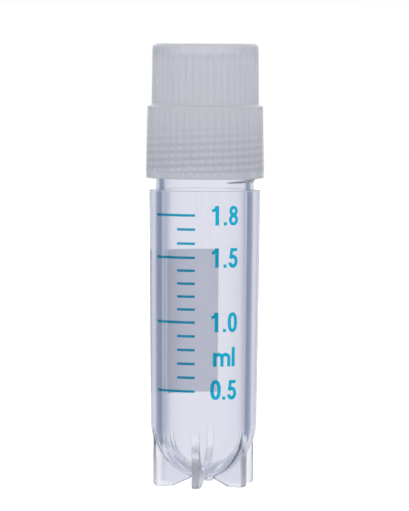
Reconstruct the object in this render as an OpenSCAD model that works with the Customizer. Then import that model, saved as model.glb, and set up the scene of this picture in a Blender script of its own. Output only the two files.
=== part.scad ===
// Two-millilitre cryogenic vial: a star-footed tube, a ribbed screw cap and the washer that seals it.
// Millimetres. Z = 0 is the plane that the feet stand on and Z runs up the tube's axis.
// Angles are counted from -Y, where one fin of the foot points, and grow towards +X.

/* [Tube] */
// Outer diameter of the tube just under its shoulder
body_d = 12.5; // [10:0.1:16]
// How much narrower the tube is where its round bottom starts
body_draft = 0.6; // [0:0.1:1]
// Wall thickness at the lower end of the tube
wall = 1.4; // [0.8:0.1:2]
// Height of the shoulder above the feet
shoulder_z = 33.1; // [26:0.1:60]
// Height above the feet at which the round bottom starts
dome_z = 7.3; // [6:0.1:9]
// Gap between the round bottom and the surface that the vial stands on
dome_lift = 0.75; // [0.5:0.05:1.5]
// Thickness of the round bottom at its centre
floor_t = 1.1; // [0.6:0.05:1.5]
// Diameter of the gate mark under the round bottom
gate_d = 0.8; // [0.5:0.1:1.5]
// Height of the gate mark
gate_h = 0.25; // [0.1:0.05:0.4]

/* [Neck] */
// Height of the neck from the shoulder to the rim
neck_h = 8.1; // [6:0.1:12]
// Step from the tube's wall in to the neck's wall
shoulder_step = 0.73; // [0.5:0.01:1.2]
// Wall thickness of the neck at the rim
neck_wall = 0.85; // [0.6:0.05:1.2]
// Rounding of the shoulder's edge and of the rim
edge_r = 0.18; // [0.05:0.01:0.3]

/* [Thread] */
// Rise of the thread in one turn
pitch = 1.6; // [1.2:0.1:2]
// Height of a thread ridge above its wall
ridge_h = 0.36; // [0.25:0.01:0.45]
// Width of a ridge at its foot
ridge_foot = 0.9; // [0.6:0.05:1]
// Width of a ridge at its crest
ridge_crest = 0.4; // [0.2:0.05:0.5]
// Clearance between a ridge's crest and the wall that it faces
thread_gap = 0.13; // [0.08:0.01:0.25]
// Height of the neck's thread start above the shoulder
thread_rise = 0.95; // [0.5:0.01:1.2]
// Angle at which the neck's thread starts
thread_start = 26; // [0:1:359]
// Angle over which a ridge grows from nothing to its full height
ridge_fade = 40; // [20:5:60]

/* [Star foot] */
// Number of fins
fin_count = 6; // [4:1:8]
// Thickness of a fin where it leaves the round bottom
fin_top_t = 0.9; // [0.8:0.05:1.5]
// Thickness of a fin at its foot
fin_low_t = 0.8; // [0.6:0.05:1.3]
// Distance from the tube's wall in to the fins' outer edges
fin_inset = 0.06; // [0:0.01:0.3]
// Length of the flat foot on each fin, its outer corner included
foot_l = 2.15; // [1.5:0.05:3]
// Distance from the axis at which a fin's sloping lower edge meets the round bottom
fin_root_r = 1.7; // [1:0.1:2.5]
// Rounding of a fin's outer lower corner
fin_corner_r = 0.45; // [0.2:0.05:0.8]

/* [Cap] */
// Height of the narrower upper tier
crown_h = 6.9; // [3:0.1:10]
// Gap between the skirt and the tube's shoulder when the cap is tight
skirt_gap = 1.3; // [0.4:0.1:2]
// Wall thickness of the skirt at its open end
skirt_wall = 0.59; // [0.5:0.01:1.2]
// How much narrower the skirt is at its upper end
skirt_draft = 0.27; // [0:0.01:0.3]
// Height of the ledge between the two tiers above the washer's seat
seat_cover = 0.4; // [0.2:0.1:1]
// Width of the ledge between the two tiers
ledge_w = 0.46; // [0.2:0.02:1]
// How much narrower the upper tier is at its top
crown_draft = 0.14; // [0:0.02:0.4]
// Thickness of the closed top
top_t = 1.2; // [0.8:0.1:2]
// Rounding of the top's edge
top_edge_r = 0.5; // [0.2:0.05:0.8]
// Number of grip ribs round the cap
rib_count = 45; // [24:1:60]
// Height of a grip rib above the groove beside it
rib_depth = 0.1; // [0.05:0.01:0.15]
// Width of a rib's crest, as a share of the distance from rib to rib
rib_crest = 0.5; // [0.3:0.05:0.6]
// Width of a rib's foot, as a share of the distance from rib to rib
rib_foot = 0.8; // [0.65:0.05:0.95]
// Plain band under the ribs at the skirt's open end
rim_band = 0.65; // [0.4:0.05:1]
// Plain band on each side of the ledge
ledge_band = 0.4; // [0.2:0.05:0.8]
// Plain band between the ribs and the rounding of the top's edge
top_band = 0.1; // [0.05:0.05:0.5]
// How far the tight cap is turned from the angle at which a rib points along -Y
cap_angle = -1; // [-4:0.5:4]

/* [Washer] */
// Thickness of the sealing washer
washer_t = 0.9; // [0.5:0.05:1.5]
// Clearance round the washer in the cap
washer_gap = 0.1; // [0.05:0.01:0.2]

/* [Hidden] */

$fn = 96;
arc_steps = 24;           // straight steps in a quarter of an outline's curve
corner_steps = 6;         // straight steps in a rounded corner
thread_steps = 30;        // rings of a thread ridge in one turn
bite = 0.14;              // how deep a thread ridge is sunk into the wall that carries it
rib_bed = 0.05;           // how far the wall behind the ribs is set back from the floor between them
eps = 0.01;               // overlap of cutting shapes

body_r = body_d / 2;
dome_r = (body_d - body_draft) / 2;
bore_low_r = dome_r - wall;
neck_r = body_r - shoulder_step;
bore_top_r = neck_r - neck_wall;
rim_z = shoulder_z + neck_h;
bore_floor_z = dome_lift + floor_t;

neck_thread_z = shoulder_z + thread_rise;
neck_thread_h = rim_z - ridge_foot - neck_thread_z;

skirt_z = shoulder_z + skirt_gap;
seat_z = rim_z + washer_t;
ledge_z = seat_z + seat_cover;
cap_top_z = ledge_z + crown_h;
skirt_bore_r = neck_r + ridge_h + thread_gap;
skirt_r = skirt_bore_r + skirt_wall;
skirt_top_r = skirt_r - skirt_draft / 2;
crown_r = skirt_top_r - ledge_w;
crown_top_r = crown_r - crown_draft / 2;
seat_r = skirt_bore_r - ridge_h;
cap_ridge_low = skirt_z + ridge_foot;
cap_ridge_turn = (cap_ridge_low - neck_thread_z) / pitch - 1 / 2;
cap_ridge_h = rim_z - ridge_foot - cap_ridge_low;

// Turns its children so that angle 0 lies along -Y
module facing(angle) {
    rotate([0, 0, angle - 90]) children();
}

// Points of a quarter ellipse about [0, z], from its lowest point on the axis out to its side
function bowl(r, z, depth) =
    [for (i = [0 : arc_steps]) let (a = 90 * i / arc_steps) [r * sin(a), z - depth * cos(a)]];

// Points of a rounded convex corner at [x, y], from angle a0 to a1 about the corner's centre
function corner(x, y, r, a0, a1) =
    [for (i = [0 : corner_steps]) let (a = a0 + (a1 - a0) * i / corner_steps) [x + r * cos(a), y + r * sin(a)]];

// Section of a thread ridge at height z on a wall of radius wall_r, facing inwards where side is -1
// and outwards where side is 1. grown runs from 0, where the ridge ends, to 1.
function ridge_section(wall_r, side, z, grown) =
    let (
        foot = ridge_foot / 4 * (1 + grown),
        crest = ridge_crest / 4 * (1 + grown),
        in_r = wall_r - side * bite,
        out_r = wall_r + side * max(ridge_h * grown, eps),
        section = [[in_r, z - foot], [out_r, z - crest], [out_r, z + crest], [in_r, z + foot]]
    )
    side > 0 ? section : reversed(section);

function reversed(list) = [for (i = [len(list) - 1 : -1 : 0]) list[i]];

// A helical ridge that starts at angle 0 and height z0 and climbs over height h
module ridge(wall_r, side, z0, h) {
    turns = h / pitch;
    count = ceil(turns * thread_steps);
    fade = ridge_fade / 360 / turns;
    points = [for (i = [0 : count])
        let (
            t = i / count,
            angle = 360 * turns * t,
            grown = min(1, t / fade, (1 - t) / fade)
        )
        for (p = ridge_section(wall_r, side, z0 + h * t, grown))
            [p[0] * cos(angle), p[0] * sin(angle), p[1]]];
    sides = [for (i = [0 : count - 1], k = [0 : 3])
        let (n = (k + 1) % 4)
        [4 * i + k, 4 * i + n, 4 * i + 4 + n, 4 * i + 4 + k]];
    ends = [[3, 2, 1, 0], [for (k = [0 : 3]) 4 * count + k]];
    polyhedron(points, concat(sides, ends));
}

module tube_outside() {
    rotate_extrude()
        polygon(concat(
            bowl(dome_r, dome_z, dome_z - dome_lift),
            corner(body_r - edge_r, shoulder_z - edge_r, edge_r, 0, 90),
            [[neck_r, shoulder_z]],
            corner(neck_r - edge_r, rim_z - edge_r, edge_r, 0, 90),
            [[0, rim_z]]
        ));
}

module tube_bore() {
    rotate_extrude()
        polygon(concat(
            bowl(bore_low_r, bore_floor_z + bore_low_r, bore_low_r),
            [[bore_top_r, rim_z + eps], [0, rim_z + eps]]
        ));
}

// One fin, standing out along +X
module fin() {
    out_r = dome_r - fin_inset;
    intersection() {
        rotate([90, 0, 0])
            linear_extrude(fin_top_t, center = true)
                polygon(concat(
                    [[0, dome_z], [0, dome_lift + floor_t / 2], [fin_root_r, dome_lift], [out_r - foot_l, 0]],
                    corner(out_r - fin_corner_r, fin_corner_r, fin_corner_r, -90, 0),
                    [[out_r, dome_z]]
                ));
        rotate([90, 0, 90])
            linear_extrude(body_d)
                polygon([
                    [-fin_low_t / 2, 0], [fin_low_t / 2, 0],
                    [fin_top_t / 2, dome_z], [-fin_top_t / 2, dome_z]
                ]);
    }
}

module vial() {
    color("lavender", 0.4)
        difference() {
            union() {
                tube_outside();
                translate([0, 0, dome_lift - gate_h])
                    cylinder(h = gate_h + floor_t / 2, d = gate_d);
                for (i = [0 : fin_count - 1])
                    facing(360 * i / fin_count) fin();
                facing(thread_start)
                    ridge(neck_r, 1, neck_thread_z, neck_thread_h);
            }
            tube_bore();
        }
}

// Outline of a ribbed wall whose ribs reach out to radius r
function ribbed_outline(r) =
    let (
        foot = rib_foot / 2,
        crest = rib_crest / 2,
        rib = [[-foot, rib_depth], [-crest, 0], [crest, 0], [foot, rib_depth]]
    )
    [for (i = [0 : rib_count - 1], p = rib)
        let (a = 360 * (i + p[0]) / rib_count)
        [(r - p[1]) * cos(a), (r - p[1]) * sin(a)]];

// The ribs of one tier, from z0 to z1 on a wall that leans from radius r0 in to r1
module ribs(z0, z1, r0, r1) {
    facing(cap_angle)
        translate([0, 0, z0])
            linear_extrude(z1 - z0, scale = (r1 - eps) / (r0 - eps))
                polygon(ribbed_outline(r0 - eps));
}

// Outline of one tier's wall, set back between its plain bands to leave room for the ribs
function tier_outline(z0, z1, r0, r1, low_band, high_band) =
    let (
        set_back = rib_depth + rib_bed,
        lean = (r1 - r0) / (z1 - z0),
        low_r = r0 + lean * low_band,
        high_r = r1 - lean * high_band
    )
    [
        [r0, z0], [low_r, z0 + low_band], [low_r - set_back, z0 + low_band],
        [high_r - set_back, z1 - high_band], [high_r, z1 - high_band], [r1, z1]
    ];

module cap_outside() {
    crown_wall_z = cap_top_z - top_edge_r;
    rotate_extrude()
        polygon(concat(
            [[0, skirt_z]],
            tier_outline(skirt_z, ledge_z, skirt_r, skirt_top_r, rim_band, ledge_band),
            tier_outline(ledge_z, crown_wall_z, crown_r, crown_top_r, ledge_band, top_band),
            corner(crown_top_r - top_edge_r, crown_wall_z, top_edge_r, 0, 90),
            [[0, cap_top_z]]
        ));
    ribs(skirt_z + rim_band - eps, ledge_z - ledge_band + eps, skirt_r, skirt_top_r);
    ribs(ledge_z + ledge_band - eps, crown_wall_z - top_band + eps, crown_r, crown_top_r);
}

module cap_inside() {
    translate([0, 0, skirt_z - eps])
        cylinder(h = rim_z - edge_r - skirt_z + eps, r = skirt_bore_r);
    translate([0, 0, skirt_z])
        cylinder(h = seat_z - skirt_z, r = seat_r);
    translate([0, 0, skirt_z])
        cylinder(h = cap_top_z - top_t - skirt_z, r = bore_top_r);
}

module cap() {
    color("gainsboro")
        union() {
            difference() {
                cap_outside();
                cap_inside();
            }
            facing(thread_start + 360 * cap_ridge_turn)
                ridge(skirt_bore_r, -1, cap_ridge_low, cap_ridge_h);
        }
}

module seal_washer() {
    color("white")
        difference() {
            translate([0, 0, rim_z]) cylinder(h = washer_t, r = seat_r - washer_gap);
            translate([0, 0, rim_z - eps]) cylinder(h = washer_t + 2 * eps, r = bore_top_r);
        }
}

vial();
cap();
seal_washer();
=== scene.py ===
"""Looks of a two-millilitre cryogenic vial: a clear star-footed tube, its printed scale and a ribbed cap.

Sizes are in millimetres and become metres when a mesh is finished. Angles round the tube are in degrees,
counted from -Y, where one fin of the foot points, and grow towards +X.
"""

import math

import bmesh
import bpy
from mathutils import Matrix, Quaternion, Vector


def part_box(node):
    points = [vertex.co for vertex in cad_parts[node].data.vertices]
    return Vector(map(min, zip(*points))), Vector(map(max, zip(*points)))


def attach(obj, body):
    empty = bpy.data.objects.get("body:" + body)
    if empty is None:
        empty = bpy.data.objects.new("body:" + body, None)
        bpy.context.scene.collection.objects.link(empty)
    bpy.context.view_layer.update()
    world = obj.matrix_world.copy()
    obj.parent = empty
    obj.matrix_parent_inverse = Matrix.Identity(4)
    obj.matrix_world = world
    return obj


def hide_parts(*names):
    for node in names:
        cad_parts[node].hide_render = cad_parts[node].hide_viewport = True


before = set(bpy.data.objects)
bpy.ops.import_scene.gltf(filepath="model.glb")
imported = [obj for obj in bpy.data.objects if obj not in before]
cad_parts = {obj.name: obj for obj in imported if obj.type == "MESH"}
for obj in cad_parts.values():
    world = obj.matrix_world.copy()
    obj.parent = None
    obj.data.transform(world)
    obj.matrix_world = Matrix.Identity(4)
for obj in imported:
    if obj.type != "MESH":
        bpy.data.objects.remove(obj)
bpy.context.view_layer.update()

MM = 0.001


def box_mm(node):
    """A CAD node's lowest and highest corner, in millimetres."""
    return [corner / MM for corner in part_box(node)]


vial_high = box_mm("vial")[1]
cap_low, cap_high = box_mm("cap")
washer_high = box_mm("seal_washer")[1]

# ---------------------------------------------------------------- sizes of the tube
BODY_R = vial_high.x      # outer radius under the shoulder
BODY_DRAFT = 0.3          # how much smaller it is where the round bottom starts
DOME_R = BODY_R - BODY_DRAFT
DOME_Z = 7.3              # where the straight wall ends and the round bottom starts
DOME_LIFT = 0.75          # how high the round bottom's lowest point stands
WALL = 1.4
FLOOR_T = 1.1             # thickness under the bore
GATE_R = 0.4              # the gate mark, a small disc under the round bottom
GATE_H = 0.25
GATE_EDGE_R = 0.1
NECK_H = 8.1
RIM_Z = vial_high.z
SHOULDER_Z = RIM_Z - NECK_H
SHOULDER_STEP = 0.73      # how much narrower the neck is than the body
NECK_R = BODY_R - SHOULDER_STEP
NECK_WALL = 0.85
EDGE_R = 0.18             # rounding of the tube's rim and of the cap's step
SHOULDER_EDGE_R = 0.1
BORE_LOW_R = DOME_R - WALL
BORE_TOP_R = NECK_R - NECK_WALL
BORE_FLOOR_Z = DOME_LIFT + FLOOR_T

# ---------------------------------------------------------------- sizes of the thread
PITCH = 1.6
RIDGE_H = 0.36
RIDGE_FOOT = 0.9          # width of a ridge at its foot
RIDGE_FADE = 150          # degrees over which a thread rises from nothing
RIDGE_BITE = 0.14         # how deep a ridge is sunk into its wall
THREAD_RISE = 0.95        # height of the neck thread's start above the shoulder
THREAD_START = 26         # and its angle
THREAD_Z = SHOULDER_Z + THREAD_RISE
THREAD_TOP_Z = RIM_Z - RIDGE_FOOT   # height of both threads' ends

# ---------------------------------------------------------------- sizes of the star foot
FIN_COUNT = 6
FIN_TOP_T = 0.9           # thickness of a fin at its top
FIN_LOW_T = 0.8           # and at its foot
FIN_INSET = 0.06          # how far inside the tube's wall a fin's outer edge lies
FOOT_L = 2.15             # length of a fin's foot, its rounded corner included
FIN_ROOT_R = 1.7          # radius where a fin's sloping lower edge starts
FIN_SUNK_ANGLE = 12       # angle from straight down where a fin's sunk edge starts
FIN_CORNER_R = 0.45
FIN_EDGE_R = 0.1

# ---------------------------------------------------------------- sizes of the cap
SKIRT_Z = cap_low.z
SKIRT_R = cap_high.x
SKIRT_TOP_R = SKIRT_R - 0.135
CAP_TOP_Z = cap_high.z
CROWN_H = 6.9             # height of the narrower upper tier
LEDGE_Z = CAP_TOP_Z - CROWN_H
LEDGE_W = 0.46            # width of the step between the two tiers
CROWN_R = SKIRT_TOP_R - LEDGE_W
CROWN_TOP_R = CROWN_R - 0.07
TOP_T = 1.2               # thickness of the closed top
CEILING_Z = CAP_TOP_Z - TOP_T
TOP_EDGE_R = 0.5
SEAT_Z = washer_high.z    # the inner ledge that the washer seats on
SEAT_R = 5.65             # and the radius of the bore round it
SKIRT_BORE_R = 6.01       # the bore that takes the neck
RIB_COUNT = 45
RIB_DEPTH = 0.1
RIB_CREST = 0.5           # width of a rib's crest, as a share of the ribs' spacing
RIB_FOOT = 0.8            # and of its foot
RIB_RISE = 0.12           # height over which a rib's lower end rises
SKIRT_RIB_FADE = 0.6      # and over which its upper end fades
CROWN_RIB_FADE = 0.8
RIM_BAND = 0.65           # height of the plain band under the skirt's ribs
LEDGE_BAND = 0.4          # and under the upper tier's
CAP_ANGLE = -1            # angle of a rib when the cap is tight
LIP_R = 0.12              # rounding of the skirt's lower edges
FOOT_R = 0.28             # the hollow where the upper tier meets the step
CAP_RIDGE_LOW = SKIRT_Z + RIDGE_FOOT

# ---------------------------------------------------------------- how fine the meshes are
TUBE_COLUMNS = 240
DOME_STEPS = 40
WALL_STEPS = 12
NECK_STEPS = 30
FIN_STEPS = 24
RIDGE_STEPS = 72          # sections in one turn of a thread
CREST_STEPS = 10          # and points across its ridge
RIB_COLUMNS = 12          # of the cap's mesh, for each rib
RIB_STEPS = 8             # up a ribbed wall
RIB_FADE_STEPS = 4        # and over the ribs' fading ends
PATCH_STEPS = 64
FLOOR_STEPS = 64
SHARP_ANGLE = 35          # an edge over this angle is shaded sharp


# ---------------------------------------------------------------- meshes
def arc(x, y, radius, start, end, steps=6):
    """Points of an arc about (x, y), from angle start to end."""
    turns = [math.radians(start + (end - start) * i / steps) for i in range(steps + 1)]
    return [(x + radius * math.cos(a), y + radius * math.sin(a)) for a in turns]


def line(start, end, steps):
    """Points from start on towards end, without end."""
    return [tuple(a + (b - a) * i / steps for a, b in zip(start, end)) for i in range(steps)]


def around(angle, radius, z):
    """The point at an angle round the axis, where angle 0 lies along -Y."""
    a = math.radians(angle)
    return (radius * math.sin(a), -radius * math.cos(a), z)


def placed(name, data):
    """A new object in the scene, from a mesh or a camera."""
    made = bpy.data.objects.new(name, data)
    bpy.context.collection.objects.link(made)
    return made


def solid(name, vertices, faces):
    """A new object from vertices in millimetres, with its faces turned outwards."""
    mesh = bpy.data.meshes.new(name)
    mesh.from_pydata(vertices, [], faces)
    bm = bmesh.new()
    bm.from_mesh(mesh)
    bmesh.ops.recalc_face_normals(bm, faces=bm.faces)
    bm.to_mesh(mesh)
    bm.free()
    return placed(name, mesh)


def revolved(name, outline, columns, radius_of=None):
    """A solid of revolution, whose outline starts and ends on the axis.

    The outline's points are (radius, z) or, for radius_of, (radius, z, share of the ribs)."""
    vertices, rings = [], []
    for point in outline:
        if point[0] == 0:
            rings.append([len(vertices)] * columns)
            vertices.append((0, 0, point[1]))
            continue
        rings.append(list(range(len(vertices), len(vertices) + columns)))
        for i in range(columns):
            angle = 360 * i / columns
            radius = radius_of(point, angle) if radius_of else point[0]
            vertices.append(around(angle, radius, point[1]))
    faces = []
    for low, high in zip(rings, rings[1:]):
        for i in range(columns):
            k = (i + 1) % columns
            corners = [low[i], low[k], high[k], high[i]]
            faces.append(list(dict.fromkeys(corners)))
    return solid(name, vertices, faces)


def swept(name, rings, loop=False):
    """A solid through closed rings of points: a loop, or else capped at its two ends."""
    count = len(rings[0])
    vertices = [point for ring in rings for point in ring]
    faces = []
    if not loop:
        faces += [list(range(count))[::-1], [count * (len(rings) - 1) + k for k in range(count)]]
    for i in range(len(rings) if loop else len(rings) - 1):
        low, high = count * i, count * ((i + 1) % len(rings))
        for k in range(count):
            n = (k + 1) % count
            faces.append([low + k, low + n, high + n, high + k])
    return solid(name, vertices, faces)


def modified(piece, kind, **values):
    """Gives a piece the mesh that one modifier makes of it."""
    modifier = piece.modifiers.new(kind.lower(), kind)
    for key, value in values.items():
        setattr(modifier, key, value)
    graph = bpy.context.evaluated_depsgraph_get()
    mesh = bpy.data.meshes.new_from_object(piece.evaluated_get(graph), depsgraph=graph)
    piece.modifiers.clear()
    old, piece.data = piece.data, mesh
    bpy.data.meshes.remove(old)
    piece.data.name = piece.name


def joined(base, others):
    """base united with the other solids, which are used up."""
    for other in others:
        modified(base, "BOOLEAN", operation="UNION", solver="MANIFOLD", object=other)
        bpy.data.meshes.remove(other.data)
    return base


def gathered(name, parts):
    """Solids that don't meet, as one object."""
    bm = bmesh.new()
    for part in parts:
        bm.from_mesh(part.data)
        bpy.data.meshes.remove(part.data)
    mesh = bpy.data.meshes.new(name)
    bm.to_mesh(mesh)
    bm.free()
    return placed(name, mesh)


def finish_piece(piece, body, material):
    """Brings a solid to metres, shades it smooth but for its sharp edges, and hangs it on its body."""
    piece.data.transform(Matrix.Scale(MM, 4))
    piece.data.materials.clear()
    piece.data.materials.append(material)
    piece.data.shade_smooth()
    piece.data.set_sharp_from_angle(angle=math.radians(SHARP_ANGLE))
    modified(piece, "WEIGHTED_NORMAL", keep_sharp=True)
    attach(piece, body)


# ---------------------------------------------------------------- materials
CLEAR = (1, 1, 1, 1)
WALL_TINT = (0.725, 0.735, 0.833, 1)
FIN_TINT = (0.875, 0.88, 0.945, 1)
WALL_TINT_R = (4.9, 5.58)           # radii where the outer wall's tint starts and is full
BOTTOM_TINT = (0.86, 0.96)          # the same for the round bottom, as shares of its size
BOTTOM_TINT_Z = (DOME_Z + 0.1, DOME_Z - 0.1)
FIN_LOOKS = (1.004, 1.02)           # where a fin's looks start and are full, as shares of the same size
FIN_LOOKS_Z = (6.8, 6.2)
FIN_HAZE = 0.2                      # added roughness of the fins
FROST = 0.6                         # and of their lower outer faces
FROST_R = (5.6, 5.75)
FROST_Z = (3.6, 3.0)
# painted light and shade: the cap's colour runs from a shaded to a lit copy of one milky plastic
CAP_SHADED_TONE = (0.67, 0.68, 0.765, 1)
CAP_LIT_TONE = (0.9, 0.905, 0.975, 1)
SKIRT_PAINTED_SHADE = 0.3                     # painted shade: where the skirt's tone lies from the shaded tone to the lit one
HOLLOW_PAINTED_LIGHT = 0.55                  # painted light: how much lighter it is from the step up, where the cap is hollow and lit through
HOLLOW_PAINTED_LIGHT_Z = (SKIRT_Z + 1, LEDGE_Z)    # heights where that painted light starts and is full
LIP_PAINTED_LIGHT = 0.3                     # painted light: the same at the skirt's lower edge
LIP_PAINTED_LIGHT_Z = (SKIRT_Z + 1, SKIRT_Z + 0.3)
TOP_PAINTED_SHADE = -0.3                    # and painted shade at the closed top, which is darker
TOP_PAINTED_SHADE_Z = (CEILING_Z - 0.8, CEILING_Z + 0.3)
ROW_PAINTED_SHADING = 0.3                     # painted light and shade: how strongly the thread's rows, seen through the cap, are painted into it
ROW_RIBS = 0.4                      # how much stronger those painted rows are on a rib's crest, and weaker between two ribs
ROWS_START_Z = (SKIRT_Z + 0.4, SKIRT_Z + 1.0)
ROWS_END_Z = (SKIRT_Z + 2.6, RIM_Z)
NUMBER_INK = (0.012, 0.56, 0.76, 1), (0.02, 0.62, 0.82, 1)
LINE_INK = (0.03, 0.44, 0.64, 1), (0.04, 0.49, 0.69, 1)
CHALK = (0.87, 0.88, 0.94, 1), (0.91, 0.92, 0.97, 1)
UNEVEN = 0.3, 0.7                   # the noise levels that the two tones of an ink stand for


def set_sockets(node, values):
    for name, value in values.items():
        node.inputs[name].default_value = value


class Nodes:
    """Adds nodes to one tree and links them."""

    def __init__(self, tree):
        self.tree = tree
        self.link = tree.links.new

    def add(self, kind, **values):
        """A new node. Each value is one of its settings, or else goes to its input of that name."""
        node = self.tree.nodes.new("ShaderNode" + kind)
        for key, value in values.items():
            if hasattr(node, key):
                setattr(node, key, value)
            else:
                node.inputs[key].default_value = value
        return node

    def math(self, operation, *values):
        """The result of one operation on numbers and other nodes' outputs."""
        node = self.add("Math", operation=operation)
        for socket, value in zip(node.inputs, values):
            if isinstance(value, (int, float)):
                socket.default_value = value
            else:
                self.link(value, socket)
        return node.outputs[0]

    def ramp(self, value, start, end, low=0.0, high=1.0, smooth=False):
        """low where value is start and high where it is end, held beyond both."""
        node = self.add("MapRange", interpolation_type="SMOOTHSTEP" if smooth else "LINEAR")
        set_sockets(node, {"From Min": start, "From Max": end, "To Min": low, "To Max": high})
        self.link(value, node.inputs["Value"])
        return node.outputs["Result"]

    def separate(self, vector):
        """The three outputs of a vector."""
        node = self.add("SeparateXYZ")
        self.link(vector, node.inputs["Vector"])
        return node.outputs

    def noise(self, place, scale, detail):
        node = self.add("TexNoise", Scale=scale, Detail=detail)
        self.link(place, node.inputs["Vector"])
        return node.outputs["Fac"]

    def tone(self, value, *stops):
        """The colour that a value has between stops of (position, colour), given in rising order."""
        node = self.add("ValToRGB")
        elements = node.color_ramp.elements
        while len(elements) < len(stops):
            elements.new(1.0)
        for element, (position, colour) in zip(elements, stops):
            element.position = position
            element.color = colour
        self.link(value, node.inputs["Fac"])
        return node.outputs["Color"]

    def bump(self, height, strength, distance):
        node = self.add("Bump", Strength=strength, Distance=distance)
        self.link(height, node.inputs["Height"])
        return node.outputs["Normal"]


def shader(name, fixed):
    """A new material, its Principled shader with some sockets fixed, and its nodes."""
    material = bpy.data.materials.new(name)
    material.use_nodes = True
    principled = material.node_tree.nodes["Principled BSDF"]
    set_sockets(principled, fixed)
    return material, principled, Nodes(material.node_tree)


def clear_plastic():
    """Clear polypropylene with shallow moulding waves. The fins are hazy and their lower outer faces matt.

    Light meets the outer wall once on its way in and once on its way out, so the wall's tint lies there. It
    is fainter on the thin neck and on the fins."""
    material, principled, nodes = shader("clear_plastic", {"Transmission Weight": 1.0, "IOR": 1.49})
    place = nodes.add("TexCoord").outputs["Object"]

    def length(scale, offset):
        """The length of a scaled and moved object coordinate."""
        moved = nodes.add("Mapping")
        set_sockets(moved, {"Scale": scale, "Location": offset})
        nodes.link(place, moved.inputs["Vector"])
        measure = nodes.add("VectorMath", operation="LENGTH")
        nodes.link(moved.outputs["Vector"], measure.inputs[0])
        return measure.outputs["Value"]

    def ramp_mm(value, span):
        """0 where value is a span's first length in millimetres, and 1 where it is the second."""
        return nodes.ramp(value, span[0] * MM, span[1] * MM)

    z = nodes.separate(place)["Z"]
    wide = 1 / (DOME_R * MM)
    deep = 1 / ((DOME_Z - DOME_LIFT) * MM)
    off_dome = length((wide, wide, deep), (0, 0, -DOME_Z * MM * deep))
    reach = length((1, 1, 0), (0, 0, 0))
    fins = nodes.math("MULTIPLY", nodes.ramp(off_dome, *FIN_LOOKS), ramp_mm(z, FIN_LOOKS_Z))
    feet = nodes.math("MULTIPLY", ramp_mm(reach, FROST_R), ramp_mm(z, FROST_Z))
    bottom = nodes.math("MULTIPLY", nodes.ramp(off_dome, *BOTTOM_TINT), ramp_mm(z, BOTTOM_TINT_Z))
    outer = nodes.math("MAXIMUM", ramp_mm(reach, WALL_TINT_R), bottom)
    tinted = nodes.math("MULTIPLY", nodes.math("ADD", outer, fins), 0.5)
    tint = nodes.tone(tinted, (0, CLEAR), (0.5, WALL_TINT), (1, FIN_TINT))
    nodes.link(tint, principled.inputs["Base Color"])
    clouds = nodes.noise(place, scale=220, detail=3)
    haze = nodes.ramp(clouds, 0, 1, low=0.02, high=0.07)
    haze = nodes.math("ADD", haze, nodes.math("MULTIPLY", fins, FIN_HAZE))
    haze = nodes.math("ADD", haze, nodes.math("MULTIPLY", feet, FROST))
    nodes.link(haze, principled.inputs["Roughness"])
    waves = nodes.noise(place, scale=260, detail=1)
    nodes.link(nodes.bump(waves, strength=0.05, distance=0.05 * MM), principled.inputs["Normal"])
    return material


def cap_plastic():
    """Natural polypropylene: milky, with painted light and shade: lighter where the cap is hollow, darker at
    its closed top, and the thread's rows painted faint in it.
    """
    material, principled, nodes = shader("cap_plastic", {"Transmission Weight": 0.4, "IOR": 1.49})
    place = nodes.add("TexCoord").outputs["Object"]
    x, y, z = nodes.separate(place)
    math_node = nodes.math

    def between(heights):
        """0 at the first height and 1 at the second, in millimetres."""
        return nodes.ramp(z, heights[0] * MM, heights[1] * MM, smooth=True)

    # the thread's rows, painted into the cap's colour as light and shade
    angle = math_node("ARCTAN2", x, math_node("MULTIPLY", y, -1.0))
    row_z = (THREAD_Z - PITCH * THREAD_START / 360) * MM
    rows = math_node("MULTIPLY", math_node("SUBTRACT", z, row_z), 4 * math.pi / (PITCH * MM))
    rows = math_node("COSINE", math_node("SUBTRACT", rows, math_node("MULTIPLY", angle, 2.0)))
    ribs = math_node("SUBTRACT", angle, math.radians(CAP_ANGLE))
    ribs = math_node("COSINE", math_node("MULTIPLY", ribs, RIB_COUNT))
    ribs = math_node("ADD", math_node("MULTIPLY", ribs, ROW_RIBS), 1.0)
    shown = math_node("SUBTRACT", between(ROWS_START_Z), between(ROWS_END_Z))
    rows = math_node("MULTIPLY", math_node("MULTIPLY", rows, ribs), math_node("MULTIPLY", shown, ROW_PAINTED_SHADING))
    # painted light where the cap is hollow
    empty = math_node("MULTIPLY", between(HOLLOW_PAINTED_LIGHT_Z), HOLLOW_PAINTED_LIGHT)
    # painted light at the skirt's lower edge
    lip = math_node("MULTIPLY", between(LIP_PAINTED_LIGHT_Z), LIP_PAINTED_LIGHT)
    # painted shade on the closed top
    top = math_node("MULTIPLY", between(TOP_PAINTED_SHADE_Z), TOP_PAINTED_SHADE)
    # the cap's painted light and shade, summed
    shade = math_node("ADD", math_node("ADD", math_node("ADD", empty, lip), top), rows)
    shade = math_node("ADD", shade, SKIRT_PAINTED_SHADE)
    nodes.link(nodes.tone(shade, (0, CAP_SHADED_TONE), (1, CAP_LIT_TONE)), principled.inputs["Base Color"])
    grain = nodes.noise(place, scale=900, detail=2)
    nodes.link(nodes.ramp(grain, 0, 1, low=0.12, high=0.18), principled.inputs["Roughness"])
    nodes.link(nodes.bump(grain, strength=0.1, distance=0.05 * MM), principled.inputs["Normal"])
    return material


def silicone():
    """Soft and matt, and a little translucent."""
    fixed = {"Base Color": (0.75, 0.76, 0.78, 1), "Transmission Weight": 0.2, "IOR": 1.41}
    material, principled, nodes = shader("silicone", fixed)
    place = nodes.add("TexCoord").outputs["Object"]
    grain = nodes.noise(place, scale=1500, detail=2)
    nodes.link(nodes.ramp(grain, 0, 1, low=0.45, high=0.6), principled.inputs["Roughness"])
    return material


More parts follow.
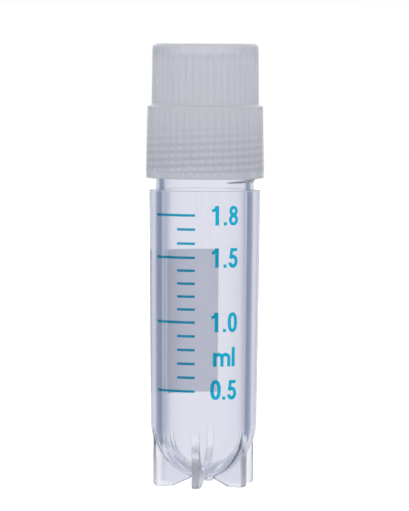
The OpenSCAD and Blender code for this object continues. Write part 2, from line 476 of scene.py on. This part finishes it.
def blue_ink(name, tones):
    """Printed ink that lets the light behind it through, a little uneven in its thickness."""
    fixed = {"Transmission Weight": 0.9, "IOR": 1.05, "Roughness": 0.2}
    material, principled, nodes = shader(name, fixed)
    place = nodes.add("TexCoord").outputs["Object"]
    cover = nodes.noise(place, scale=1400, detail=3)
    nodes.link(nodes.tone(cover, *zip(UNEVEN, tones)), principled.inputs["Base Color"])
    return material


def white_ink():
    """The writing patch: chalky ink that a pen marks."""
    material, principled, nodes = shader("white_ink", {"Transmission Weight": 0.85, "IOR": 1.45})
    place = nodes.add("TexCoord").outputs["Object"]
    chalk = nodes.noise(place, scale=1600, detail=4)
    nodes.link(nodes.tone(chalk, *zip(UNEVEN, CHALK)), principled.inputs["Base Color"])
    nodes.link(nodes.ramp(chalk, 0, 1, low=0.5, high=0.7), principled.inputs["Roughness"])
    nodes.link(nodes.bump(chalk, strength=0.2, distance=0.02 * MM), principled.inputs["Normal"])
    return material


# ---------------------------------------------------------------- the tube
def tube_outline():
    """From the gate mark under the round bottom, up the outside, over the rim and down the bore."""
    depth = DOME_Z - DOME_LIFT
    outside = [(DOME_R * math.sin(a), DOME_Z - depth * math.cos(a))
               for a in (math.radians(90 * i / DOME_STEPS) for i in range(DOME_STEPS + 1))]
    outside = [point for point in outside if point[0] > GATE_R]
    bore = arc(0, BORE_FLOOR_Z + BORE_LOW_R, BORE_LOW_R, 0, -90, DOME_STEPS)
    gate_low = DOME_LIFT - GATE_H
    return (
        [(0, gate_low)]
        + arc(GATE_R - GATE_EDGE_R, gate_low + GATE_EDGE_R, GATE_EDGE_R, -90, 0, 4)
        + outside[:-1]
        + line((DOME_R, DOME_Z), (BODY_R, SHOULDER_Z - SHOULDER_EDGE_R), WALL_STEPS)
        + arc(BODY_R - SHOULDER_EDGE_R, SHOULDER_Z - SHOULDER_EDGE_R, SHOULDER_EDGE_R, 0, 90)
        + line((NECK_R, SHOULDER_Z), (NECK_R, RIM_Z - EDGE_R), NECK_STEPS)
        + arc(NECK_R - EDGE_R, RIM_Z - EDGE_R, EDGE_R, 0, 90)
        + line((BORE_TOP_R, RIM_Z), (BORE_LOW_R, BORE_FLOOR_Z + BORE_LOW_R), WALL_STEPS)
        + bore[:-1]
        + [(0, BORE_FLOOR_Z)]
    )


def ridge(name, wall_r, side, start, z0, height):
    """A helical ridge on a wall: side is 1 where it stands outwards and -1 where it stands inwards.

    Its crest is broad and round at full height, and runs out softly into the wall at both ends."""
    turns = height / PITCH
    count = round(turns * RIDGE_STEPS)
    fade = RIDGE_FADE / 360 / turns
    rings = []
    for i in range(count + 1):
        t = i / count
        grown = min(1, max(t, 0.001) / fade, max(1 - t, 0.001) / fade)
        half = RIDGE_FOOT / 4 * (1 + grown)
        section = [(wall_r - side * RIDGE_BITE, -half)]
        for k in range(CREST_STEPS + 1):
            s = -1 + 2 * k / CREST_STEPS
            rise = RIDGE_H * grown * max(math.cos(math.pi / 2 * s), 0) ** (2 - 1.5 * grown)
            section.append((wall_r + side * rise, s * half))
        section.append((wall_r - side * RIDGE_BITE, half))
        angle = start + 360 * turns * t
        rings.append([around(angle, r, z0 + height * t + z) for r, z in section])
    return swept(name, rings)


def fin(index):
    """One fin of the star foot, sunk half way into the tube's round bottom."""
    out_r = DOME_R - FIN_INSET
    sunk_r = DOME_R - WALL / 2
    depth = DOME_Z - DOME_LIFT - FLOOR_T / 2
    span = 90 - FIN_SUNK_ANGLE
    inner = [(sunk_r * math.sin(a), DOME_Z - depth * math.cos(a))
             for a in (math.radians(FIN_SUNK_ANGLE + span * i / FIN_STEPS) for i in range(FIN_STEPS + 1))]
    outline = (
        inner[::-1]
        + [(FIN_ROOT_R, DOME_LIFT), (out_r - FOOT_L, 0)]
        + arc(out_r - FIN_CORNER_R, FIN_CORNER_R, FIN_CORNER_R, -90, 0)
        + [(out_r, DOME_Z)]
    )
    rings = []
    for side in (-1, 1):
        ring = []
        for r, z in outline:
            half = (FIN_LOW_T + (FIN_TOP_T - FIN_LOW_T) * z / DOME_Z) / 2
            ring.append((side * half, -r, z))
        rings.append(ring)
    made = swept(f"fin_{index}", rings)
    bm = bmesh.new()
    bm.from_mesh(made.data)
    faces = sorted(bm.faces, key=lambda face: face.calc_area())[-2:]
    edges = list({edge for face in faces for edge in face.edges})
    bmesh.ops.bevel(bm, geom=edges, offset=FIN_EDGE_R, segments=3, profile=0.5, affect="EDGES")
    bm.to_mesh(made.data)
    bm.free()
    made.data.transform(Matrix.Rotation(math.radians(360 * index / FIN_COUNT), 4, "Z"))
    return made


def make_tube():
    tube = revolved("vial_tube", tube_outline(), TUBE_COLUMNS)
    thread = ridge("neck_thread", NECK_R, 1, THREAD_START, THREAD_Z, THREAD_TOP_Z - THREAD_Z)
    joined(tube, [fin(i) for i in range(FIN_COUNT)] + [thread])
    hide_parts("vial")
    finish_piece(tube, "vial", clear_plastic())


# ---------------------------------------------------------------- the cap
def cap_outline():
    """From the ceiling's middle down the inside, round the lip and up the outside.

    A point's third value is its share of the ribs' depth."""
    skirt_lean = (SKIRT_TOP_R - SKIRT_R) / (LEDGE_Z - SKIRT_Z)
    crown_wall_z = CAP_TOP_Z - TOP_EDGE_R
    crown_lean = (CROWN_TOP_R - CROWN_R) / (crown_wall_z - LEDGE_Z)

    def skirt(z, rib=0.0):
        return (SKIRT_R + skirt_lean * (z - SKIRT_Z), z, rib)

    def crown(z, rib=0.0):
        return (CROWN_R + crown_lean * (z - LEDGE_Z), z, rib)

    def ribbed(wall, low, high, end):
        """Points up a ribbed wall, whose ribs rise at once and fade out over the length end."""
        heights = [low + (high - end - low) * i / RIB_STEPS for i in range(1, RIB_STEPS + 1)]
        shares = [1 - i / RIB_FADE_STEPS for i in range(1, RIB_FADE_STEPS)]
        fade = [wall(high - end * share, share) for share in shares]
        full = [wall(low + RIB_RISE, 1.0)] + [wall(z, 1.0) for z in heights]
        return [wall(low)] + full + fade + [wall(high)]

    def plain(points):
        return [(r, z, 0.0) for r, z in points]

    throat_z = RIM_Z - EDGE_R
    inside = [
        (0, CEILING_Z), (BORE_TOP_R, CEILING_Z), (BORE_TOP_R, SEAT_Z),
        (SEAT_R, SEAT_Z), (SEAT_R, throat_z), (SKIRT_BORE_R, throat_z),
    ]
    lip = arc(SKIRT_BORE_R + LIP_R, SKIRT_Z + LIP_R, LIP_R, 180, 270, 4)
    lip += arc(SKIRT_R - LIP_R, SKIRT_Z + LIP_R, LIP_R, 270, 360, 4)
    ledge = arc(SKIRT_TOP_R - EDGE_R, LEDGE_Z - EDGE_R, EDGE_R, 0, 90, 4)
    foot = arc(CROWN_R + FOOT_R, LEDGE_Z + FOOT_R, FOOT_R, 270, 180, 6)
    top = arc(CROWN_TOP_R - TOP_EDGE_R, crown_wall_z, TOP_EDGE_R, 0, 90, 8)
    return (
        plain(inside)
        + plain(lip)
        + ribbed(skirt, SKIRT_Z + RIM_BAND, LEDGE_Z - EDGE_R, SKIRT_RIB_FADE)
        + plain(ledge + foot)
        + ribbed(crown, LEDGE_Z + LEDGE_BAND, crown_wall_z, CROWN_RIB_FADE)
        + plain(top)
        + [(CROWN_TOP_R * 0.5, CAP_TOP_Z, 0.0), (0, CAP_TOP_Z, 0.0)]
    )


def ribbed_radius(point, angle):
    """The wall's radius at an angle: full on a rib's crest, and less by the ribs' depth between two ribs."""
    off = abs((angle - CAP_ANGLE) * RIB_COUNT / 360 % 1 - 0.5)
    off = 0.5 - off
    share = min(max((off - RIB_CREST / 2) / ((RIB_FOOT - RIB_CREST) / 2), 0), 1)
    return point[0] - point[2] * RIB_DEPTH * share


def make_cap():
    cap = revolved("screw_cap", cap_outline(), RIB_COUNT * RIB_COLUMNS, ribbed_radius)
    start = THREAD_START + 360 * ((CAP_RIDGE_LOW - THREAD_Z) / PITCH - 0.5)
    height = THREAD_TOP_Z - CAP_RIDGE_LOW
    thread = ridge("cap_thread", SKIRT_BORE_R, -1, start, CAP_RIDGE_LOW, height)
    joined(cap, [thread])
    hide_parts("cap")
    finish_piece(cap, "cap", cap_plastic())


# ---------------------------------------------------------------- the print
INK_OUT = 0.015           # how far ink stands out of the wall
INK_IN = 0.01             # how far it is sunk into the wall
MARK_T = 0.28             # height of a graduation line
MARKS_END = -0.9          # angle of the lines' right ends
MAJOR_START = -49.3       # and of the long and the short lines' left ends
MINOR_START = -20.5
MARK_HEIGHTS = {0.5: 10.9, 1.0: 18.56, 1.5: 25.74, 1.8: 30.43}
NUMBER_BASES = {"0.5": 10.0, "1.0": 17.5, "1.5": 24.65, "1.8": 29.33}
NUMBER_STARTS = (16, 29, 34.6)      # angles of a number's digit, point and tenth
UNIT_STARTS = {"m": 18.8, "l": 39.8}
UNIT_BASE = 13.67
TALL = 2.17               # height of a digit and of the letter l
BEND_STEP = 0.1           # distance between the cuts that let a flat character bend
WIDEST = 2.4              # more than the widest character takes
PATCH_START = 170.5       # angles of the writing patch's sides
PATCH_END = 255
PATCH_LOW = 10.05
PATCH_HIGH = 26.25


def wall_radius(z):
    """The tube's outer radius at a height on its straight wall."""
    return DOME_R + (BODY_R - DOME_R) * (z - DOME_Z) / (SHOULDER_Z - DOME_Z)


def on_wall(angle, z, lift):
    """A point that stands out of the tube's wall by lift."""
    return around(angle, wall_radius(z) + lift, z)


def height_of(volume):
    """The height of a volume's mark: even steps between the numbered marks."""
    known = sorted(MARK_HEIGHTS)
    for low, high in zip(known, known[1:]):
        if volume <= high:
            share = (volume - low) / (high - low)
            return MARK_HEIGHTS[low] + (MARK_HEIGHTS[high] - MARK_HEIGHTS[low]) * share


def band(name, start, end, low, high, steps):
    """A thin rectangle of ink that follows the wall between two angles and two heights."""
    rings = []
    for i in range(steps + 1):
        angle = start + (end - start) * i / steps
        rings.append([
            on_wall(angle, low, -INK_IN), on_wall(angle, low, INK_OUT),
            on_wall(angle, high, INK_OUT), on_wall(angle, high, -INK_IN),
        ])
    return swept(name, rings)


def make_marks():
    marks = []
    for tenth in range(5, 19):
        volume = tenth / 10
        z = height_of(volume)
        start = MAJOR_START if volume in MARK_HEIGHTS else MINOR_START
        steps = round(MARKS_END - start)
        marks.append(band(f"mark_{tenth}", start, MARKS_END, z - MARK_T / 2, z + MARK_T / 2, steps))
    ink = blue_ink("line_ink", LINE_INK)
    finish_piece(gathered("graduation_marks", marks), "vial", ink)


def stroke(points, width, loop=False):
    """A flat pen stroke of even width along points, which have x to the right and y up."""
    rings = []
    last = len(points) - 1
    for i, (x, y) in enumerate(points):
        before = points[i - 1] if i > 0 or loop else points[0]
        after = points[(i + 1) % len(points)] if i < last or loop else points[last]
        along = Vector((after[0] - before[0], after[1] - before[1])).normalized() * width / 2
        left, right = (x - along.y, y + along.x), (x + along.y, y - along.x)
        rings.append([(*left, -INK_IN), (*left, INK_OUT), (*right, INK_OUT), (*right, -INK_IN)])
    return swept("stroke", rings, loop)


def oval(x, y, rx, ry, start=0, end=360, steps=32, square=2.0):
    """Points of an oval about (x, y). Its sides are fuller the more square is above 2."""
    points = []
    for i in range(steps + (end - start != 360)):
        a = math.radians(start + (end - start) * i / steps)
        c, s = math.cos(a), math.sin(a)
        points.append((x + rx * math.copysign(abs(c) ** (2 / square), c),
                       y + ry * math.copysign(abs(s) ** (2 / square), s)))
    return points


def glyph(character):
    """The strokes of a character that stands on y = 0 and starts near x = 0."""
    if character == "0":
        return [stroke(oval(0.58, 1.085, 0.4, 0.91, square=2.4), 0.4, True)]
    if character == "1":
        return [
            stroke([(0.64, 0), (0.64, TALL)], 0.42),
            stroke([(0.06, 1.6), (0.3, 1.68), (0.5, 1.86), (0.56, 2.06)], 0.34),
        ]
    if character == "5":
        return [
            stroke([(0.24, 1.99), (1.08, 1.99)], 0.36),
            stroke([(0.4, 2.1), (0.26, 1.0)], 0.36),
            stroke(oval(0.56, 0.7, 0.41, 0.53, 140, -165, 28), 0.4),
        ]
    if character == "8":
        return [
            stroke(oval(0.58, 1.6, 0.35, 0.4), 0.36, True),
            stroke(oval(0.58, 0.62, 0.4, 0.45), 0.36, True),
        ]
    if character == ".":
        return [stroke([(0.0, 0.18), (0.37, 0.18)], 0.36)]
    if character == "l":
        return [stroke([(0.17, 0), (0.17, TALL)], 0.4)]
    stems = [stroke([(0.17, 0), (0.17, 1.53)], 0.4)]
    for x in (0.17, 1.0):
        arch = oval(x + 0.415, 0.93, 0.415, 0.42, 180, 0, 16)
        stems.append(stroke(arch + [(x + 0.83, 0)], 0.38))
    return stems


def printed(character, start, base):
    """A character on the tube's wall, with its x = 0 at angle start and its y = 0 at height base."""
    strokes = glyph(character)
    piece = joined(strokes[0], strokes[1:])
    bm = bmesh.new()
    bm.from_mesh(piece.data)
    for i in range(1, round(WIDEST / BEND_STEP)):
        geometry = bm.verts[:] + bm.edges[:] + bm.faces[:]
        cut = (BEND_STEP * i, 0, 0)
        bmesh.ops.bisect_plane(bm, geom=geometry, plane_co=cut, plane_no=(1, 0, 0))
    for vertex in bm.verts:
        x, y, lift = vertex.co
        z = base + y
        vertex.co = on_wall(start + math.degrees(x / wall_radius(z)), z, lift)
    bm.to_mesh(piece.data)
    bm.free()
    return piece


def make_labels():
    labels = []
    for text, base in NUMBER_BASES.items():
        labels += [printed(character, start, base) for character, start in zip(text, NUMBER_STARTS)]
    labels += [printed(character, start, UNIT_BASE) for character, start in UNIT_STARTS.items()]
    ink = blue_ink("number_ink", NUMBER_INK)
    finish_piece(gathered("graduation_numbers", labels), "vial", ink)


def make_patch():
    patch = band("writing_patch", PATCH_START, PATCH_END, PATCH_LOW, PATCH_HIGH, PATCH_STEPS)
    finish_piece(patch, "vial", white_ink())


# ---------------------------------------------------------------- the washer
def dress_washer():
    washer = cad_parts["seal_washer"]
    material = silicone()
    for slot in washer.material_slots:
        slot.material = material


# ---------------------------------------------------------------- floor, world and camera
CAMERA_AZIMUTH = 9
CAMERA_DISTANCE = 480
EYE_Z = 50.5
AIM_Z = 25.7
VIEW_H = 57.2             # what the picture's height spans at the tube
ROLL = 0.3
FLOOR_M = 1.0             # the floor's radius, in metres
FLOOR_GLOW = 0.8          # what a camera ray sees of it, beside the light that falls on it

# Each dim zone of the world starts, is full, starts to fade and has ended at four angles. Sideways they
# count from straight behind the object, and up or down from level.
LEFT_ZONE = (11, 38, 48, 68)
LEFT_DIM = 0.78
RIGHT_ZONE = (18, 40, 52, 64)
RIGHT_DIM = 0.74
LEVEL_ZONE = (-16, -10, 6, 12)      # how high the left and right zones reach
LOW_ZONE = (-66, -50, -28, -18)
LOW_DIM = 0.45
LOW_ENDS = (50, 80)                 # angles to either side over which the low zone ends
SIDE_ZONE = (62, 85, 100, 125)      # the same on both sides
SIDE_DIM = 0.45
SIDE_HEIGHT = (-60, -20, 20, 60)
DIM_COLOUR = (0.0, 0.09, 0.23, 1)


def make_camera():
    data = bpy.data.cameras.new("camera")
    camera = placed("camera", data)
    place = Vector(around(CAMERA_AZIMUTH, CAMERA_DISTANCE, EYE_Z)) * MM
    aim = Vector((0, 0, AIM_Z)) * MM
    camera.rotation_mode = "QUATERNION"
    camera.location = place
    roll = Quaternion((0, 0, 1), math.radians(ROLL))
    camera.rotation_quaternion = (aim - place).to_track_quat("-Z", "Y") @ roll
    data.lens = data.sensor_width * (aim - place).length / (VIEW_H * MM)
    data.clip_start = 0.01
    data.clip_end = 20
    bpy.context.scene.camera = camera


def make_world():
    """White all round but for zones dimmed towards a deep blue: behind the object to its left and right,
    low down behind it, and on either side. A camera ray sees plain white."""
    world = bpy.data.worlds.new("studio")
    bpy.context.scene.world = world
    world.use_nodes = True
    nodes = Nodes(world.node_tree)
    background = world.node_tree.nodes["Background"]
    math_node = nodes.math

    def rising(value, start, end):
        """0 up to start and 1 from end on, both in degrees."""
        return nodes.ramp(value, math.radians(start), math.radians(end), smooth=True)

    def hill(value, zone):
        """0 at the first angle, 1 from the second to the third, and 0 again at the fourth."""
        start, top, slope, end = zone
        return math_node("SUBTRACT", rising(value, start, top), rising(value, slope, end))

    place = nodes.add("TexCoord").outputs["Generated"]
    turn = nodes.add("VectorRotate", rotation_type="Z_AXIS", Angle=-math.radians(CAMERA_AZIMUTH))
    nodes.link(place, turn.inputs["Vector"])
    x, y, z = nodes.separate(turn.outputs["Vector"])
    right = math_node("ARCTAN2", x, y)
    left = math_node("MULTIPLY", right, -1.0)
    aside = math_node("ABSOLUTE", right)
    rise = math_node("ARCSINE", z)
    left_dim = math_node("MULTIPLY", hill(left, LEFT_ZONE), LEFT_DIM)
    right_dim = math_node("MULTIPLY", hill(right, RIGHT_ZONE), RIGHT_DIM)
    dim = math_node("MULTIPLY", math_node("ADD", left_dim, right_dim), hill(rise, LEVEL_ZONE))
    low_dim = math_node("MULTIPLY", hill(rise, LOW_ZONE), LOW_DIM)
    near = math_node("SUBTRACT", 1.0, rising(aside, *LOW_ENDS))
    dim = math_node("ADD", dim, math_node("MULTIPLY", low_dim, near))
    side_dim = math_node("MULTIPLY", hill(aside, SIDE_ZONE), SIDE_DIM)
    dim = math_node("ADD", dim, math_node("MULTIPLY", side_dim, hill(rise, SIDE_HEIGHT)))
    seen = nodes.add("LightPath").outputs["Is Camera Ray"]
    dim = math_node("MULTIPLY", dim, math_node("SUBTRACT", 1.0, seen))
    mix = nodes.add("Mix", data_type="RGBA")
    white, deep = [socket for socket in mix.inputs if socket.type == "RGBA"]
    white.default_value = (1, 1, 1, 1)
    deep.default_value = DIM_COLOUR
    nodes.link(dim, mix.inputs["Factor"])
    mixed = next(socket for socket in mix.outputs if socket.type == "RGBA")
    nodes.link(mixed, background.inputs["Color"])
    background.inputs["Strength"].default_value = 1.0


def make_floor():
    """A pale disc under the object. It glows for the camera alone and doesn't show through the plastic."""
    mesh = bpy.data.meshes.new("floor")
    corners = [around(360 * i / FLOOR_STEPS, FLOOR_M, 0) for i in range(FLOOR_STEPS)]
    mesh.from_pydata(corners, [], [list(range(FLOOR_STEPS))])
    floor = placed("floor", mesh)
    floor.visible_transmission = False
    floor.visible_glossy = False
    fixed = {"Base Color": (0.8, 0.8, 0.8, 1), "Roughness": 0.9, "Specular IOR Level": 0.0}
    material, principled, nodes = shader("pale_floor", fixed)
    seen = nodes.add("LightPath").outputs["Is Camera Ray"]
    dark = nodes.add("Emission", Strength=0.0)
    glow = nodes.add("Emission", Strength=FLOOR_GLOW)
    pick = nodes.add("MixShader")
    for source, socket in zip((seen, dark.outputs[0], glow.outputs[0]), pick.inputs):
        nodes.link(source, socket)
    total = nodes.add("AddShader")
    nodes.link(principled.outputs[0], total.inputs[0])
    nodes.link(pick.outputs[0], total.inputs[1])
    output = material.node_tree.nodes["Material Output"]
    nodes.link(total.outputs[0], output.inputs["Surface"])
    mesh.materials.append(material)


make_camera()
make_tube()
make_cap()
dress_washer()
make_marks()
make_labels()
make_patch()
make_floor()
make_world()

BOUNCES = 32              # how often light may bend or bounce in the tube and the cap
bpy.context.scene.view_settings.view_transform = "Standard"
cycles = bpy.context.scene.cycles
cycles.max_bounces = BOUNCES
cycles.transmission_bounces = BOUNCES
cycles.glossy_bounces = BOUNCES
